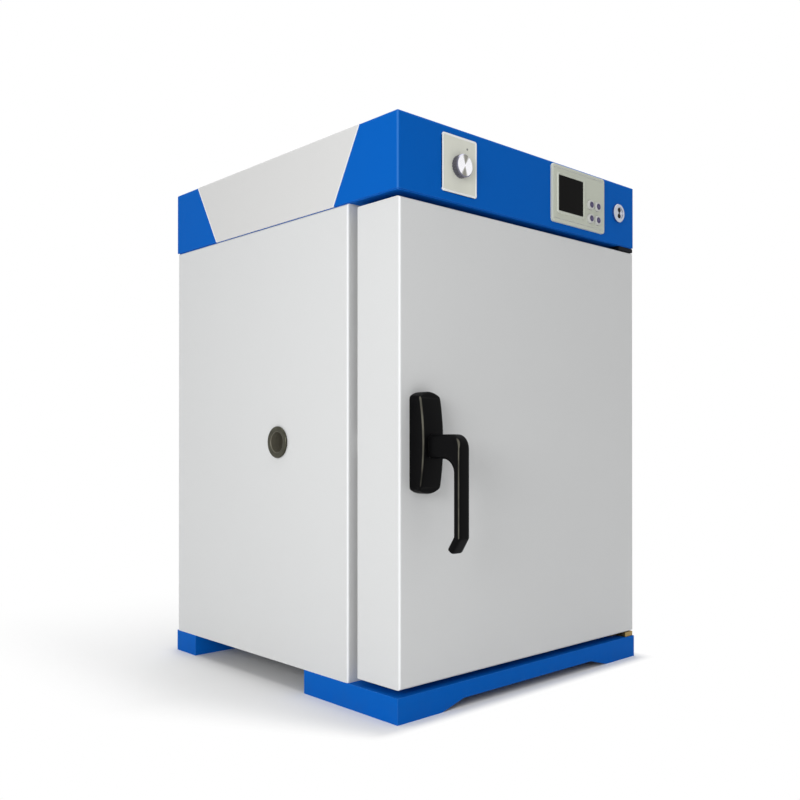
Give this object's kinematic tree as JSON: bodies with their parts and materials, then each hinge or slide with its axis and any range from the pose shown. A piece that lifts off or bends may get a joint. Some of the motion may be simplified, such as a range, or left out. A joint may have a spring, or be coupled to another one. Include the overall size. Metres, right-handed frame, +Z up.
{
  "type": "thermostatic oven",
  "caption": "Benchtop laboratory oven with an insulated side-hinged door, a control hood, wire shelves and forced air.",
  "frame": {"origin": "on the floor, in the middle of the whole outline", "axes": "+Z up, -Y towards the door and the user, +X to the right as seen from the front"},
  "size_m": [0.4478, 0.554, 0.646],
  "materials": {
    "blue_paint": "fine-textured blue powder coat",
    "white_paint": "fine-textured off-white powder coat",
    "galvanised_steel": "dull galvanised sheet",
    "stainless": "brushed stainless sheet",
    "shelf_wire": "electropolished wire",
    "mineral_wool": "matt mineral wool",
    "polished_steel": "polished stainless tube",
    "fan_aluminium": "bare pressed aluminium",
    "steel": "ground steel",
    "motor_paint": "black enamel",
    "heater_sheath": "heat-darkened steel sheath",
    "copper": "bare copper capillary bulb",
    "inlay_grey": "pale grey satin film",
    "bezel_grey": "warm grey moulded plastic",
    "black_plastic": "black moulded plastic",
    "display_glass": "glossy dark display",
    "button_white": "white moulded plastic with a dark symbol",
    "dial_plate": "pale grey printed plate",
    "knob_aluminium": "spun aluminium",
    "key_chrome": "bright chrome",
    "terminal_plastic": "ivory moulded plastic",
    "zinc_screws": "zinc plate",
    "silicone": "grey silicone",
    "zinc_yellow": "yellow zinc plate",
    "bronze": "plain bearing bronze",
    "handle_black": "satin black moulding"
  },
  "bodies": {
    "cabinet": {"front_plinth": "blue_paint", "rear_plinth": "blue_paint", "side_panel_left": "white_paint", "side_panel_right": "white_paint", "bottom_panel": "galvanised_steel", "back_panel": "white_paint", "front_frame": "stainless", "chamber_floor": "stainless", "chamber_roof": "stainless", "chamber_wall_left": "stainless", "chamber_wall_right": "stainless", "chamber_rear_wall": "stainless", "insulation_jacket": "mineral_wool", "port_tube": "polished_steel", "shelf_rails": "stainless", "fan_baffle": "stainless", "baffle_spacers": "stainless", "fan_motor": "motor_paint", "heater_coil": "heater_sheath", "temperature_probe": "steel", "limit_probe": "copper", "vent_pipe": "stainless", "motor_cover": "white_paint", "hood_shell": "blue_paint", "hood_floor": "galvanised_steel", "hood_back_panel": "blue_paint", "side_inlays": "inlay_grey", "controller_bezel": "bezel_grey", "controller_housing": "black_plastic", "display_window": "display_glass", "thermostat_plate": "dial_plate", "thermostat_body": "black_plastic", "key_switch_body": "key_chrome", "power_relay": "fan_aluminium", "terminal_block": "terminal_plastic", "mains_inlet": "black_plastic", "back_screws": "zinc_screws", "hinge_brackets": "zinc_yellow", "latch_keeper": "steel"},
    "door": {"door_outer_panel": "white_paint", "door_inner_panel": "stainless", "door_insulation": "mineral_wool", "door_gasket": "silicone", "hinge_bushes": "bronze", "handle_escutcheon": "handle_black", "spindle_sleeve": "steel"},
    "handle": {"handle_lever": "handle_black", "handle_spindle": "steel", "latch_cam": "steel"},
    "upper_shelf": {"shelf_upper": "shelf_wire"},
    "lower_shelf": {"shelf_lower": "shelf_wire"},
    "fan": {"fan_impeller": "fan_aluminium", "fan_shaft": "steel"},
    "damper": {"vent_damper": "stainless"},
    "knob": {"thermostat_knob": "knob_aluminium"},
    "key_barrel": {"key_switch_barrel": "key_chrome"},
    "upper_left_button": {"button_upper_left": "button_white"},
    "upper_right_button": {"button_upper_right": "button_white"},
    "lower_left_button": {"button_lower_left": "button_white"},
    "lower_right_button": {"button_lower_right": "button_white"}
  },
  "joints": [
    {"name": "door_hinge", "type": "hinge", "parent": "cabinet", "child": "door", "pos_m": [0.202, -0.1825, 0.0355], "axis": [0, 0, 1], "range_deg": [0, 115]},
    {"name": "handle_turn", "type": "hinge", "parent": "door", "child": "handle", "pos_m": [-0.1888, -0.2125, 0.2955], "axis": [0, -1, 0], "range_deg": [0, 90]},
    {"name": "thermostat_turn", "type": "hinge", "parent": "cabinet", "child": "knob", "pos_m": [-0.1286, -0.2125, 0.603], "axis": [0, 1, 0], "range_deg": [0, 270]},
    {"name": "key_turn", "type": "hinge", "parent": "cabinet", "child": "key_barrel", "pos_m": [0.1822, -0.2125, 0.6045], "axis": [0, 1, 0], "range_deg": [0, 90]},
    {"name": "upper_left_button_press", "type": "slide", "parent": "cabinet", "child": "upper_left_button", "axis": [0, 1, 0], "range_m": [0, 0.0008], "stiffness_N_per_m": 400},
    {"name": "upper_right_button_press", "type": "slide", "parent": "cabinet", "child": "upper_right_button", "axis": [0, 1, 0], "range_m": [0, 0.0008], "stiffness_N_per_m": 400},
    {"name": "lower_left_button_press", "type": "slide", "parent": "cabinet", "child": "lower_left_button", "axis": [0, 1, 0], "range_m": [0, 0.0008], "stiffness_N_per_m": 400},
    {"name": "lower_right_button_press", "type": "slide", "parent": "cabinet", "child": "lower_right_button", "axis": [0, 1, 0], "range_m": [0, 0.0008], "stiffness_N_per_m": 400},
    {"name": "upper_shelf_slide", "type": "slide", "parent": "cabinet", "child": "upper_shelf", "axis": [0, -1, 0], "range_m": [0, 0.02]},
    {"name": "lower_shelf_slide", "type": "slide", "parent": "cabinet", "child": "lower_shelf", "axis": [0, -1, 0], "range_m": [0, 0.02]},
    {"name": "fan_spin", "type": "hinge", "parent": "cabinet", "child": "fan", "pos_m": [0, 0.175, 0.2955], "axis": [0, 1, 0], "continuous": true},
    {"name": "damper_turn", "type": "hinge", "parent": "cabinet", "child": "damper", "pos_m": [0.092, 0.2655, 0.44], "axis": [0, 1, 0], "range_deg": [0, 90]}
  ]
}
